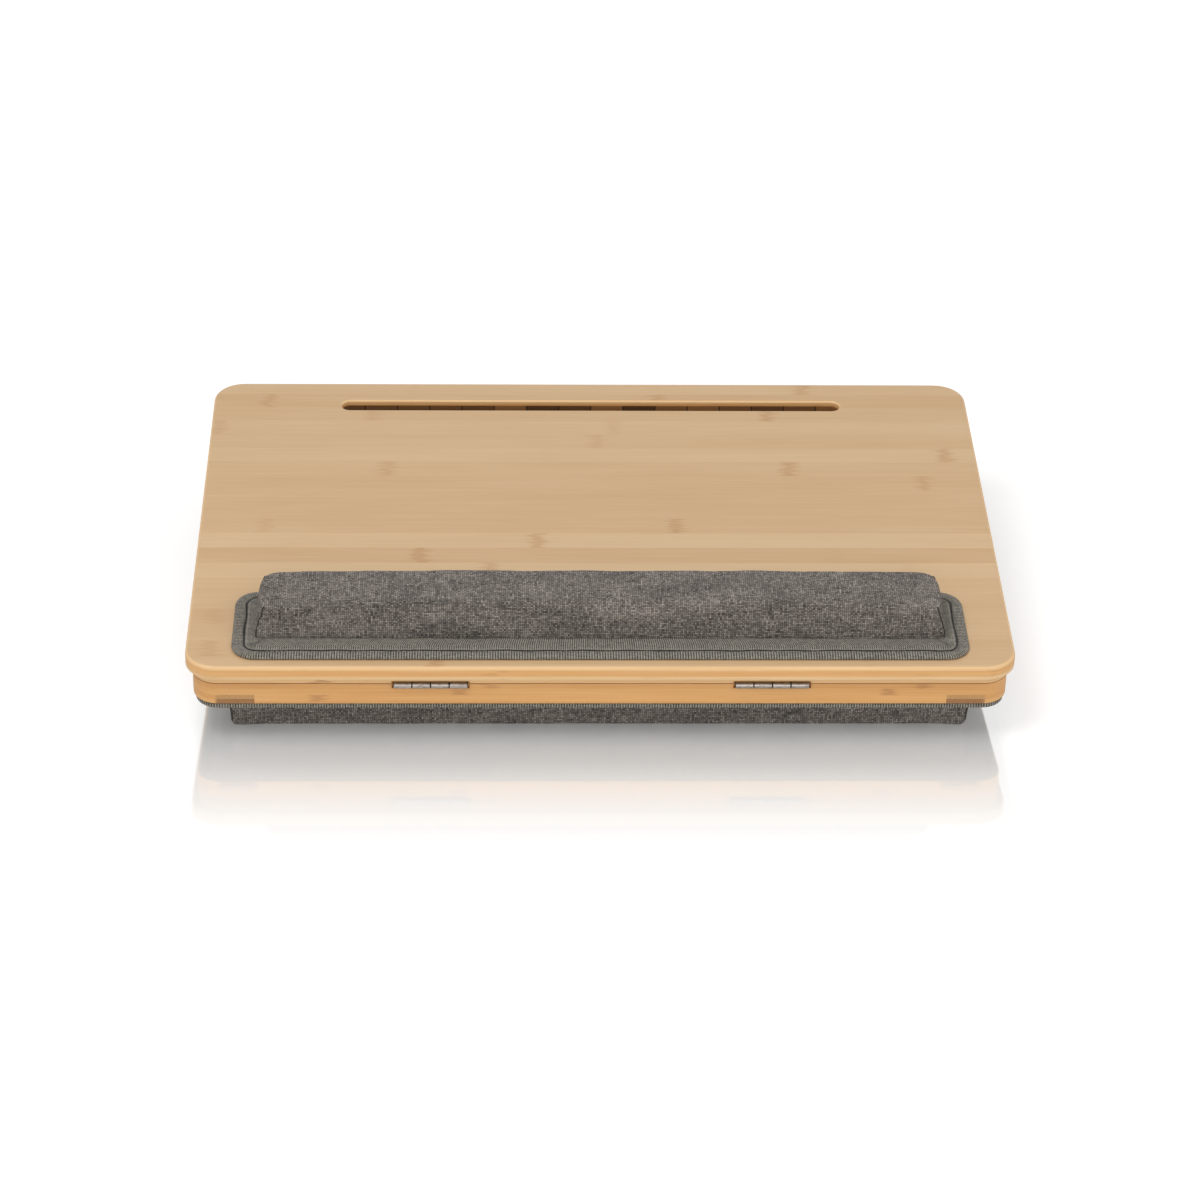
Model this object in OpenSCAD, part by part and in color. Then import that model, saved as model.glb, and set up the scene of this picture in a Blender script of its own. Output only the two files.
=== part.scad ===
/* [Lid] */
// Width of the lid board, side to side
lid_w = 560; // [520:1:600]
// Depth of the lid board, front to back
lid_d = 372; // [340:1:400]
// Thickness of the lid board
board_t = 10; // [9:0.5:14]
// Plan radius of the lid board's corners
lid_corner_r = 22; // [16:1:30]
// Radius of the round-over along the lid board's top edge
edge_r = 3; // [1:0.5:4]
// How far the lid board stands out past the rim and the base
overhang = 4.5; // [4:0.5:7]
// Height of the rim frame glued under the lid board
rim_h = 6; // [5:0.5:12]
// Gap between the closed lid's rim and the base
lid_gap = 0.6; // [0.4:0.1:1]

/* [Device slot] */
// Length of the slot, end to end
slot_l = 370; // [250:1:400]
// Width of the slot
slot_w = 13; // [9:0.5:15]
// Distance from the lid's back edge to the middle of the slot
slot_back = 32.5; // [30:0.5:40]
// Chamfer around the slot's top edge
slot_chamfer = 1; // [0.5:0.25:2]

/* [Base] */
// Height of the base frame
base_h = 16; // [14:0.5:30]
// Thickness of the base and rim walls
wall_t = 14; // [13:0.5:20]
// Width of the flat foot inside the bottom of the base frame
foot_w = 42; // [34:1:60]
// Height of that foot, and of the lapped corner joint
foot_h = 7; // [5:0.5:8]
// Thickness of the compartment's floor panel
floor_t = 3; // [2:0.5:4]
// Width of the rabbet that carries the floor panel
rabbet_w = 8; // [5:0.5:12]
// Clearance around the floor panel in its rabbet
floor_clear = 0.3; // [0.1:0.1:0.6]

/* [Hinges] */
// Length of one hinge
hinge_l = 50; // [40:1:60]
// Distance of each hinge's middle from the middle of the desk
hinge_x = 115; // [80:1:160]
// Outer radius of the knuckles
knuckle_r = 2.3; // [2:0.1:2.6]
// Radius of the hinge pin
pin_r = 0.9; // [0.7:0.1:1.1]
// Thickness of a hinge leaf
leaf_t = 1; // [0.8:0.1:1.2]
// Width of a hinge leaf, from the pin to its free edge
leaf_w = 13; // [12:0.5:13.5]
// How far the pin lies in front of the base's front face
pin_out = 0.5; // [0.3:0.1:1]
// Radius of a hinge screw's shank
screw_r = 1; // [0.8:0.1:1.2]
// Length of a hinge screw
screw_l = 9; // [7:0.5:11]

/* [Lap cushion] */
// Slope of the desk top when it stands on its cushion, in degrees
tilt = 5; // [3:0.5:7]
// Height of the base's underside above the table, at the lid's front edge
front_h = 30.3; // [27:0.1:40]
// Distance from the base frame's edge to the cushion's side
cushion_in = 17.5; // [14:0.5:24]
// Thickness of the sewn flange between cushion and base
flange_t = 4; // [3.5:0.5:6]
// How far the flange's edge lies inside the base frame's edge
flange_in = 2; // [1:0.5:4]
// Width of the ribbed binding tape round the flange
binding_w = 7; // [5:0.5:10]
// Rounding of the cushion's bottom edge
cushion_r = 8; // [5:0.5:12]
// How far the cushion's long sides draw in between their corners
draw_in = 2; // [0:0.5:4]
// Thickness of the cushion's fabric cover at its thinnest
cover_t = 2; // [1.5:0.5:4]

/* [Wrist rest] */
// Width of the wrist rest over its sewn flange
rest_w = 498; // [420:1:500]
// Depth of the wrist rest over its sewn flange
rest_d = 80; // [70:1:90]
// Distance from the lid's front edge to the flange
rest_front = 8.2; // [6:0.1:12]
// Width of the flange in front of the pad
rest_lip = 21.4; // [16:0.1:24]
// Width of the flange behind the pad
rest_lip_back = 12; // [10:0.5:16]
// Width of the flange at the pad's ends
rest_lip_side = 15; // [12:0.5:20]
// Thickness of the flange
rest_flange_t = 2.4; // [2:0.1:3]
// Height of the pad above its flange, at the pad's ends
rest_h = 25; // [18:0.5:27]
// Extra height of the pad's crown in the middle
rest_crown = 3; // [1:0.5:6]
// Plan radius of the flange's corners
rest_corner_r = 16; // [10:1:20]
// Rounding of the pad's upper edges
rest_edge_r = 9; // [5:0.5:11]

/* [Fastening tape] */
// Thickness of one half of the hook and loop tape
tape_t = 0.6; // [0.5:0.1:0.8]
// Width of a strip of hook and loop tape
tape_w = 20; // [16:1:24]
// Length of a strip of hook and loop tape
tape_l = 90; // [60:1:120]

/* [Hidden] */
$fn = 64;

// The desk's own frame: X to the right, Y back from the lid's front edge, Z up from the base's underside
base_x = lid_w / 2 - overhang;
base_y0 = overhang;
base_y1 = lid_d - overhang;
base_corner_r = lid_corner_r - overhang;
rim_z = base_h + lid_gap;
board_z = rim_z + rim_h;
top_z = board_z + board_t;
slot_y = lid_d - slot_back;

// Pin line of both hinges
pin_y = base_y0 - pin_out;
pin_z = rim_z + leaf_t - knuckle_r;
pin_clear = 0.05;
knuckle_n = 4;
knuckle_gap = 0.3;
knuckle_chamfer = 0.4;
knuckle_clear = 0.5;
notch_end = 1.2;
screw_n = 3;
recess_w = 0.5;
recess_depth = 0.6;
screw_pitch = hinge_l / screw_n;
screw_y = pin_y + 0.66 * leaf_w;
head_r = 2 * screw_r;
pilot_clear = 0.05;

// Soft parts
seat_gap = 0.3;
cushion_x = base_x - cushion_in;
cushion_y0 = base_y0 + cushion_in;
cushion_y1 = base_y1 - cushion_in;
cushion_corner_r = 14;
flange_x = base_x - flange_in;
flange_y0 = base_y0 + flange_in / 2;
flange_y1 = base_y1 - flange_in;
flange_corner_r = base_corner_r - flange_in;
flat_depth = 0.5;
rest_z = top_z + 2 * tape_t;
rest_pad_z = rest_z + rest_flange_t;
pad_x = rest_w / 2 - rest_lip_side;
pad_y0 = rest_front + rest_lip;
pad_y1 = rest_front + rest_d - rest_lip_back;
pad_corner_r = 9;
rest_binding_w = 8;

// Where the desk's frame stands in the part's frame, so that the part's own box is centred on Y
y_low = edge_r * cos(tilt) - (top_z - edge_r) * sin(tilt) - edge_r;
y_high = lid_d * cos(tilt) - board_z * sin(tilt);
y_middle = (y_low + y_high) / 2;

module in_place() {
    translate([0, -y_middle, front_h]) rotate([tilt, 0, 0]) children();
}

// Outline with round corners, from x0, y0 to x1, y1
module round_outline(x0, y0, x1, y1, r) {
    translate([x0 + r, y0]) square([x1 - x0 - 2 * r, y1 - y0]);
    translate([x0, y0 + r]) square([x1 - x0, y1 - y0 - 2 * r]);
    for (x = [x0 + r, x1 - r], y = [y0 + r, y1 - r]) translate([x, y]) circle(r);
}

module round_plate(x0, y0, x1, y1, r, z0, z1) {
    translate([0, 0, z0]) linear_extrude(z1 - z0) round_outline(x0, y0, x1, y1, r);
}

module block(x0, y0, z0, x1, y1, z1) {
    translate([x0, y0, z0]) cube([x1 - x0, y1 - y0, z1 - z0]);
}

// Section of the board's border: u runs from the corner's centre to the edge
module border_section() {
    square([lid_corner_r, board_t - edge_r]);
    square([lid_corner_r - edge_r, board_t]);
    translate([lid_corner_r - edge_r, board_t - edge_r]) circle(edge_r);
}

// Board with a round-over along its whole top edge: four borders and four corners round a plain middle
module rounded_board() {
    r = lid_corner_r;
    inner_w = lid_w - 2 * r;
    inner_d = lid_d - 2 * r;
    translate([-inner_w / 2, r, 0]) cube([inner_w, inner_d, board_t]);
    for (k = [0 : 3]) {
        x = (k == 0 || k == 3 ? 1 : -1) * inner_w / 2;
        y = r + (k < 2 ? inner_d : 0);
        translate([x, y, 0]) rotate([0, 0, 90 * k]) {
            rotate([90, 0, 0]) linear_extrude(k % 2 == 0 ? inner_d : inner_w) border_section();
            rotate_extrude(angle = 90) border_section();
        }
    }
}

// Slot through the board, with a chamfered mouth
module slot_cut() {
    half = (slot_l - slot_w) / 2;
    mouth_r = slot_w / 2 + slot_chamfer;
    module section(r0, r1) {
        polygon([[0, -1], [r0, -1], [r0, board_t - slot_chamfer], [r1, board_t], [r1, board_t + 1], [0, board_t + 1]]);
    }
    module flare() {
        polygon([
            [-slot_w / 2, -1], [slot_w / 2, -1], [slot_w / 2, board_t - slot_chamfer],
            [mouth_r, board_t], [mouth_r, board_t + 1], [-mouth_r, board_t + 1],
            [-mouth_r, board_t], [-slot_w / 2, board_t - slot_chamfer]
        ]);
    }
    for (side = [-1, 1]) translate([side * half, slot_y, 0]) rotate_extrude() section(slot_w / 2, mouth_r);
    translate([half, slot_y, 0]) rotate([90, 0, -90]) linear_extrude(2 * half) flare();
}

// Room that the knuckles need in the wood, shared by the rim and the base
module hinge_notches() {
    for (side = [-1, 1]) {
        x = side * hinge_x;
        half = hinge_l / 2 + notch_end;
        room = knuckle_r + knuckle_clear;
        block(x - half, base_y0 - 1, pin_z - room, x + half, pin_y + room, pin_z + room);
    }
}

// Recess for a leaf, from its low to its high side
module leaf_recesses(z0, z1) {
    for (side = [-1, 1]) {
        x = side * hinge_x;
        half = hinge_l / 2 + seat_gap;
        block(x - half, base_y0 - 1, z0, x + half, pin_y + leaf_w + seat_gap, z1);
    }
}

// Places of the hinge screws' centres
module at_screws() {
    for (side = [-1, 1], i = [0 : screw_n - 1])
        translate([side * hinge_x + (i - (screw_n - 1) / 2) * screw_pitch, screw_y, 0]) children();
}

module lid_board() color("burlywood") in_place() {
    difference() {
        translate([0, 0, board_z]) difference() {
            rounded_board();
            slot_cut();
        }
        at_screws() translate([0, 0, rim_z + leaf_t - 1]) cylinder(r = screw_r + pilot_clear, h = screw_l + 1.5 - leaf_t);
    }
}

// Rails of the rim: the front and back ones run the whole width, the side ones fit between them
module rim_long(y0, y1) {
    difference() {
        intersection() {
            round_plate(-base_x, base_y0, base_x, base_y1, base_corner_r, rim_z, board_z);
            block(-base_x - 1, y0, rim_z - 1, base_x + 1, y1, board_z + 1);
        }
        hinge_notches();
        leaf_recesses(rim_z - 1, rim_z + leaf_t);
        at_screws() translate([0, 0, rim_z]) cylinder(r = screw_r + pilot_clear, h = rim_h + 1);
    }
}

module rim_side(side) {
    block(
        side > 0 ? base_x - wall_t : -base_x, base_y0 + base_corner_r, rim_z,
        side > 0 ? base_x : -base_x + wall_t, base_y1 - base_corner_r, board_z
    );
}

module rim_front() color("wheat") in_place() {
    rim_long(base_y0, base_y0 + wall_t);
    for (side = [-1, 1]) rim_corner_fill(side, base_y0 + wall_t, base_y0 + base_corner_r);
}

module rim_back() color("wheat") in_place() {
    rim_long(base_y1 - wall_t, base_y1);
    for (side = [-1, 1]) rim_corner_fill(side, base_y1 - base_corner_r, base_y1 - wall_t);
}

// Short return of a long rail, from its inner face to where the corner's arc ends
module rim_corner_fill(side, y0, y1) {
    intersection() {
        round_plate(-base_x, base_y0, base_x, base_y1, base_corner_r, rim_z, board_z);
        block(
            side > 0 ? base_x - wall_t : -base_x, y0, rim_z,
            side > 0 ? base_x : -base_x + wall_t, y1, board_z
        );
    }
}

module rim_left() color("wheat") in_place() rim_side(-1);
module rim_right() color("wheat") in_place() rim_side(1);

// Rails of the base: above the foot the long rails run through, and in the foot the side rails do
module base_long(front) {
    y0 = front ? base_y0 : base_y1 - wall_t;
    foot_y0 = front ? base_y0 : base_y1 - foot_w;
    rabbet_y0 = front ? base_y0 + foot_w - rabbet_w : base_y1 - foot_w - 1;
    difference() {
        union() {
            intersection() {
                round_plate(-base_x, base_y0, base_x, base_y1, base_corner_r, foot_h, base_h);
                block(-base_x, y0, foot_h, base_x, y0 + wall_t, base_h);
            }
            block(-base_x + foot_w, foot_y0, 0, base_x - foot_w, foot_y0 + foot_w, foot_h);
        }
        block(-base_x, rabbet_y0, foot_h - floor_t, base_x, rabbet_y0 + rabbet_w + 1, foot_h + 0.01);
        if (front) {
            hinge_notches();
            leaf_recesses(base_h - leaf_t, base_h + 1);
            at_screws() translate([0, 0, base_h - screw_l - 1]) cylinder(r = screw_r + pilot_clear, h = screw_l + 1);
        }
    }
}

module base_side(side) {
    x0 = side > 0 ? base_x - foot_w : -base_x;
    wall_x0 = side > 0 ? base_x - wall_t : -base_x;
    rabbet_x0 = side > 0 ? base_x - foot_w - 1 : -base_x + foot_w - rabbet_w;
    difference() {
        union() {
            intersection() {
                round_plate(-base_x, base_y0, base_x, base_y1, base_corner_r, 0, foot_h);
                block(x0, base_y0, 0, x0 + foot_w, base_y1, foot_h);
            }
            intersection() {
                round_plate(-base_x, base_y0, base_x, base_y1, base_corner_r, 0, base_h);
                block(wall_x0, base_y0 + wall_t, 0, wall_x0 + wall_t, base_y1 - wall_t, base_h);
            }
        }
        block(
            rabbet_x0, base_y0 + foot_w - rabbet_w, foot_h - floor_t,
            rabbet_x0 + rabbet_w + 1, base_y1 - foot_w + rabbet_w, foot_h + 0.01
        );
    }
}

module base_front_rail() color("sandybrown") in_place() base_long(true);
module base_back_rail() color("sandybrown") in_place() base_long(false);
module base_left_rail() color("peru") in_place() base_side(-1);
module base_right_rail() color("peru") in_place() base_side(1);

module compartment_floor() color("burlywood") in_place() {
    in = foot_w - rabbet_w + floor_clear;
    block(-base_x + in, base_y0 + in, foot_h - floor_t, base_x - in, base_y1 - in, foot_h);
}

// Hinge parts, drawn about the middle of one hinge's pin line
knuckle_pitch = hinge_l / knuckle_n;

// One knuckle, standing on its end, with chamfered rims
module barrel(length) {
    rim_r = knuckle_r - knuckle_chamfer;
    rotate_extrude() polygon([
        [0, 0], [rim_r, 0], [knuckle_r, knuckle_chamfer],
        [knuckle_r, length - knuckle_chamfer], [rim_r, length], [0, length]
    ]);
}

module knuckles(first) {
    for (i = [first : 2 : knuckle_n - 1])
        translate([-hinge_l / 2 + i * knuckle_pitch + knuckle_gap / 2, 0, 0])
            rotate([0, 90, 0]) barrel(knuckle_pitch - knuckle_gap);
}

module pin_bore() {
    rotate([0, 90, 0]) cylinder(r = pin_r + pin_clear, h = hinge_l + 2, center = true);
}

// Room round the knuckles that belong to the other leaf
module other_knuckles(first) {
    room = knuckle_r + knuckle_clear;
    for (i = [first : 2 : knuckle_n - 1])
        translate([-hinge_l / 2 + i * knuckle_pitch - knuckle_gap / 2, -room, -room])
            cube([knuckle_pitch + knuckle_gap, 2 * room, 2 * room]);
}

module leaf(z0, first) {
    difference() {
        union() {
            knuckles(first);
            block(-hinge_l / 2, 0, z0, hinge_l / 2, leaf_w, z0 + leaf_t);
        }
        other_knuckles(1 - first);
        pin_bore();
    }
}

module at_hinges() {
    for (side = [-1, 1]) translate([side * hinge_x, pin_y, pin_z]) children();
}

// Countersunk screw with a cross recess in its head's face at z = 0, and its point up
module screw() {
    difference() {
        union() {
            cylinder(r1 = head_r, r2 = screw_r, h = leaf_t);
            cylinder(r = screw_r, h = screw_l - screw_r);
            translate([0, 0, screw_l - screw_r]) cylinder(r1 = screw_r, r2 = 0.2, h = screw_r);
        }
        for (turn = [0, 90])
            rotate([0, 0, turn]) cube([2 * screw_r + recess_w, recess_w, 2 * recess_depth], center = true);
    }
}

module screw_room() {
    translate([0, 0, -0.01]) cylinder(r1 = head_r + pilot_clear, r2 = screw_r + pilot_clear, h = leaf_t + 0.02);
}

module hinge_leaves_lid() color("silver") in_place() {
    difference() {
        at_hinges() leaf(rim_z - pin_z, 0);
        at_screws() translate([0, 0, rim_z]) screw_room();
    }
}

module hinge_leaves_base() color("silver") in_place() {
    difference() {
        at_hinges() leaf(base_h - leaf_t - pin_z, 1);
        at_screws() translate([0, 0, base_h]) mirror([0, 0, 1]) screw_room();
    }
}

module hinge_pins() color("gray") in_place() {
    at_hinges() rotate([0, 90, 0]) cylinder(r = pin_r, h = hinge_l, center = true);
}

module hinge_screws_lid() color("silver") in_place() {
    at_screws() translate([0, 0, rim_z]) screw();
}

module hinge_screws_base() color("silver") in_place() {
    at_screws() translate([0, 0, base_h]) mirror([0, 0, 1]) screw();
}

// Soft forms: rings of points that follow an outline with round corners, counted from the front right corner
arc_n = 5;
long_n = 11;
short_n = 3;

// One ring: half width a, depth from y0 to y1, corner radius r, long sides drawn in by d
function ring(a, y0, y1, r, d) =
    let (
        corners = [[a - r, y1 - r, 0], [-a + r, y1 - r, 90], [-a + r, y0 + r, 180], [a - r, y0 + r, 270]],
        arcs = [for (c = corners) [for (i = [0 : arc_n]) [c[0] + r * cos(c[2] + 90 * i / arc_n), c[1] + r * sin(c[2] + 90 * i / arc_n)]]]
    )
    [for (k = [0 : 3])
        let (
            arc = arcs[k],
            from = arc[arc_n],
            to = arcs[(k + 1) % 4][0],
            n = k % 2 == 0 ? long_n : short_n,
            inward = k == 0 ? -1 : k == 2 ? 1 : 0
        )
        each concat(arc, [for (i = [1 : n])
            let (s = i / (n + 1)) [from[0] + (to[0] - from[0]) * s, from[1] + (to[1] - from[1]) * s + inward * d * sin(180 * s)]])];

ring_n = 4 * (arc_n + 1) + 2 * long_n + 2 * short_n;

// Closes a stack of rings, each a list of ring_n points, from the first to the last
module ring_stack(rings) {
    last = (len(rings) - 1) * ring_n;
    function middle(points) = [for (axis = [0 : 2]) (min([for (p = points) p[axis]]) + max([for (p = points) p[axis]])) / 2];
    points = concat([for (one = rings) each one], [middle(rings[0]), middle(rings[len(rings) - 1])]);
    foot = len(points) - 2;
    sides = [for (k = [0 : len(rings) - 2], i = [0 : ring_n - 1])
        let (a = k * ring_n + i, b = k * ring_n + (i + 1) % ring_n)
        each [[a, a + ring_n, b], [b, a + ring_n, b + ring_n]]];
    bottom = [for (i = [0 : ring_n - 1]) [i, (i + 1) % ring_n, foot]];
    top = [for (i = [0 : ring_n - 1]) [last + (i + 1) % ring_n, last + i, foot + 1]];
    polyhedron(points, concat(sides, bottom, top), convexity = 4);
}

// Wrist pad: side walls that bulge a little, round upper edges and a crowned top
pad_bulge = 1.5;
pad_levels = [[0, 0.8], [0.3, 0.3], [0.55, 0]];

function pad_height(x, y) =
    rest_h + rest_crown * (1 - pow(abs(x) / pad_x, 4)) * (1 - pow(abs(2 * (y - pad_y0) / (pad_y1 - pad_y0) - 1), 2) * 0.6);

function pad_ring(in, share) =
    [for (p = ring(pad_x - in, pad_y0 + in, pad_y1 - in, max(pad_corner_r - in, 1.5), 0.8))
        [p[0], p[1], pad_height(p[0], p[1]) * share]];

function pad_rings() =
    let (
        walls = [for (level = pad_levels) pad_ring(pad_bulge * level[1], level[0])],
        edge = [for (a = [20 : 23 : 89]) pad_ring(rest_edge_r * (1 - cos(a)), 1 - rest_edge_r / rest_h * (1 - sin(a)))],
        crown = [for (in = [rest_edge_r + 3, (pad_y1 - pad_y0) / 2 - 2.5]) pad_ring(in, 1)]
    )
    concat(walls, edge, crown);

module wrist_rest_foam_block(grow) {
    in = rest_edge_r;
    round_plate(
        -pad_x + in - grow, pad_y0 + in - grow, pad_x - in + grow, pad_y1 - in + grow,
        pad_corner_r, rest_pad_z + (grow > 0 ? -1 : 0), rest_pad_z + rest_h - cover_t + grow
    );
}

module wrist_rest_cover() color("dimgray") in_place() {
    difference() {
        translate([0, 0, rest_pad_z]) ring_stack(pad_rings());
        wrist_rest_foam_block(seat_gap);
    }
}

module wrist_rest_foam() color("lightyellow") in_place() wrist_rest_foam_block(0);

// Flat ring between two outlines
module wrist_rest_ring(out_in, in_x, in_y0, in_y1, in_r, z0, z1) {
    difference() {
        round_plate(
            -rest_w / 2 + out_in, rest_front + out_in, rest_w / 2 - out_in, rest_front + rest_d - out_in,
            rest_corner_r - out_in, z0, z1
        );
        round_plate(-in_x, in_y0, in_x, in_y1, in_r, z0 - 1, z1 + 1);
    }
}

module wrist_rest_flange() color("gray") in_place()
    wrist_rest_ring(
        rest_binding_w, pad_x - rest_edge_r, pad_y0 + rest_edge_r, pad_y1 - rest_edge_r, pad_corner_r, rest_z, rest_pad_z
    );

module wrist_rest_binding() color("slategray") in_place()
    wrist_rest_ring(
        0, rest_w / 2 - rest_binding_w, rest_front + rest_binding_w, rest_front + rest_d - rest_binding_w,
        rest_corner_r - rest_binding_w, rest_z, rest_pad_z + 0.4
    );

module wrist_rest_backing() color("black") in_place()
    round_plate(
        -pad_x + rest_edge_r, pad_y0 + rest_edge_r, pad_x - rest_edge_r, pad_y1 - rest_edge_r, pad_corner_r, rest_z, rest_pad_z
    );

rest_tape_n = 3;
rest_tape_pitch = 170;

module rest_tapes(z0) {
    middle = (pad_y0 + pad_y1) / 2;
    for (i = [0 : rest_tape_n - 1]) {
        x = (i - (rest_tape_n - 1) / 2) * rest_tape_pitch;
        block(x - tape_l / 2, middle - tape_w / 2, z0, x + tape_l / 2, middle + tape_w / 2, z0 + tape_t);
    }
}

module wrist_rest_hook_tape() color("black") in_place() rest_tapes(top_z);
module wrist_rest_loop_tape() color("darkslategray") in_place() rest_tapes(top_z + tape_t);

// Lap cushion: the wedge between the flange and the table
function table_z(y) = -(front_h + y * sin(tilt)) / cos(tilt);

cushion_bulge = 1.5;
cushion_levels = [[0, 1], [0.22, 0.25], [0.5, 0]];

// Share runs from 0 at the flange to 1 at the table, and drop lowers a point by a fixed height
function cushion_ring(in, share, lift) =
    [for (p = ring(cushion_x - in, cushion_y0 + in, cushion_y1 - in, max(cushion_corner_r - in / 2, 3), draw_in))
        let (low = table_z(p[1]) - flat_depth) [p[0], p[1], -flange_t + (low + lift + flange_t) * share]];

function cushion_rings() =
    let (
        walls = [for (level = cushion_levels) cushion_ring(cushion_bulge * level[1], level[0], 0)],
        edge = [for (a = [15 : 25 : 90]) cushion_ring(cushion_r * (1 - cos(a)), 1, cushion_r * (1 - sin(a)))]
    )
    [for (k = [len(walls) + len(edge) - 1 : -1 : 0]) k < len(walls) ? walls[k] : edge[k - len(walls)]];

// Wedge of foam, cut square, that the cover goes round
module cushion_foam_block(grow) {
    in = cushion_r + 1 - grow;
    y0 = cushion_y0 + in;
    y1 = cushion_y1 - in;
    top = grow > 0 ? -flange_t + 1 : -flange_t;
    translate([-cushion_x + in, 0, 0]) rotate([90, 0, 90]) linear_extrude(2 * (cushion_x - in))
        polygon([[y0, table_z(y0) + cover_t - grow], [y1, table_z(y1) + cover_t - grow], [y1, top], [y0, top]]);
}

module cushion_cover() color("dimgray") in_place() {
    difference() {
        ring_stack(cushion_rings());
        cushion_foam_block(seat_gap);
        rotate([-tilt, 0, 0]) translate([-lid_w, -lid_d, -front_h - 10]) cube([2 * lid_w, 3 * lid_d, 10]);
    }
}

module cushion_foam() color("lightyellow") in_place() cushion_foam_block(0);

module cushion_ring_plate(out_in, in_in, in_r, z0, z1) {
    difference() {
        round_plate(
            -flange_x + out_in, flange_y0 + out_in, flange_x - out_in, flange_y1 - out_in,
            flange_corner_r - out_in, z0, z1
        );
        round_plate(-flange_x + in_in, flange_y0 + in_in, flange_x - in_in, flange_y1 - in_in, in_r, z0 - 1, z1 + 1);
    }
}

cushion_backing_in = cushion_in + cushion_r;

module cushion_flange() color("gray") in_place()
    cushion_ring_plate(binding_w, cushion_backing_in, cushion_corner_r, -flange_t, -2 * tape_t);

module cushion_binding() color("slategray") in_place()
    cushion_ring_plate(0, binding_w, flange_corner_r - binding_w, -flange_t, 0);

module cushion_backing() color("black") in_place() {
    in = cushion_backing_in;
    round_plate(-flange_x + in, flange_y0 + in, flange_x - in, flange_y1 - in, cushion_corner_r, -flange_t, -2 * tape_t);
}

// Strips of hook and loop tape under the four sides of the foot
module cushion_tapes(z0) {
    long_y = [base_y0 + foot_w / 2, base_y1 - foot_w / 2];
    for (y = long_y, i = [-1, 0, 1])
        block(
            i * rest_tape_pitch - tape_l / 2, y - tape_w / 2, z0,
            i * rest_tape_pitch + tape_l / 2, y + tape_w / 2, z0 + tape_t
        );
    for (side = [-1, 1]) {
        x = side * (base_x - foot_w / 2);
        block(x - tape_w / 2, lid_d / 2 - tape_l / 2, z0, x + tape_w / 2, lid_d / 2 + tape_l / 2, z0 + tape_t);
    }
}

module cushion_hook_tape() color("black") in_place() cushion_tapes(-tape_t);
module cushion_loop_tape() color("darkslategray") in_place() cushion_tapes(-2 * tape_t);

lid_board();
rim_front();
rim_back();
rim_left();
rim_right();
base_front_rail();
base_back_rail();
base_left_rail();
base_right_rail();
compartment_floor();
hinge_leaves_lid();
hinge_leaves_base();
hinge_pins();
hinge_screws_lid();
hinge_screws_base();
wrist_rest_cover();
wrist_rest_foam();
wrist_rest_flange();
wrist_rest_binding();
wrist_rest_backing();
wrist_rest_loop_tape();
wrist_rest_hook_tape();
cushion_cover();
cushion_foam();
cushion_flange();
cushion_binding();
cushion_backing();
cushion_loop_tape();
cushion_hook_tape();
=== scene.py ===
import math

import bmesh
import bpy
from mathutils import Matrix, Vector, noise
from mathutils.bvhtree import BVHTree


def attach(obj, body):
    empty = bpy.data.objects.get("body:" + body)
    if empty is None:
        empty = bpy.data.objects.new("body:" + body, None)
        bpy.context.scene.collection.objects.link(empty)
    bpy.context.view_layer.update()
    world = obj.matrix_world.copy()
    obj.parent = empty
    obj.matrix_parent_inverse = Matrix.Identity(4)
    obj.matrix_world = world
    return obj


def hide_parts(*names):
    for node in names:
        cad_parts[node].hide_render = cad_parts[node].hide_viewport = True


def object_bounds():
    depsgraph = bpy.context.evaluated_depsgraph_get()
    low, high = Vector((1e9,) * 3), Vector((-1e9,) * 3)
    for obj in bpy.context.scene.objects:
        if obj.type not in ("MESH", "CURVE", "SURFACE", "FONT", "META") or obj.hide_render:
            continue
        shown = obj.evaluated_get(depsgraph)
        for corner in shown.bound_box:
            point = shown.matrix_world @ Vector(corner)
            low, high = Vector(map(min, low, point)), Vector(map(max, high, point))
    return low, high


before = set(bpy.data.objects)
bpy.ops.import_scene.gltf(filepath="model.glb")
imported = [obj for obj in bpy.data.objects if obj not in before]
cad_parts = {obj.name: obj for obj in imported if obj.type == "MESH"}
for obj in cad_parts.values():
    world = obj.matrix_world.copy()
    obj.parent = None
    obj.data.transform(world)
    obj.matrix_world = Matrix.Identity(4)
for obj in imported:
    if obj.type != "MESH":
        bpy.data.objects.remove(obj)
cad_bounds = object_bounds()

# The desk's driving sizes, in metres
MM = 0.001
TILT = math.radians(5)
LID_W = 560 * MM
LID_D = 372 * MM
BOARD_T = 10 * MM
EDGE_R = 3 * MM
OVERHANG = 4.5 * MM
RIM_H = 6 * MM
LID_GAP = 0.6 * MM
BASE_H = 16 * MM
FOOT_H = 7 * MM
FRONT_H = 30.3 * MM
SLOT_L = 370 * MM
SLOT_W = 13 * MM
SLOT_BACK = 32.5 * MM
CUSHION_IN = 17.5 * MM
FLANGE_T = 4 * MM
FLANGE_IN = 2 * MM
REST_W = 498 * MM
REST_D = 80 * MM
REST_FRONT = 8.2 * MM
REST_LIP = 21.4 * MM
REST_LIP_BACK = 12 * MM
REST_LIP_SIDE = 15 * MM
REST_FLANGE_T = 2.4 * MM
REST_H = 25 * MM
REST_CROWN = 3 * MM
HINGE_X = 115 * MM
HINGE_L = 50 * MM
KNUCKLE_N = 4
# Back of the hinges' round part, behind the lid's front edge
BARREL_BACK = 6.4 * MM
TAPE_T = 0.6 * MM

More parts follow.
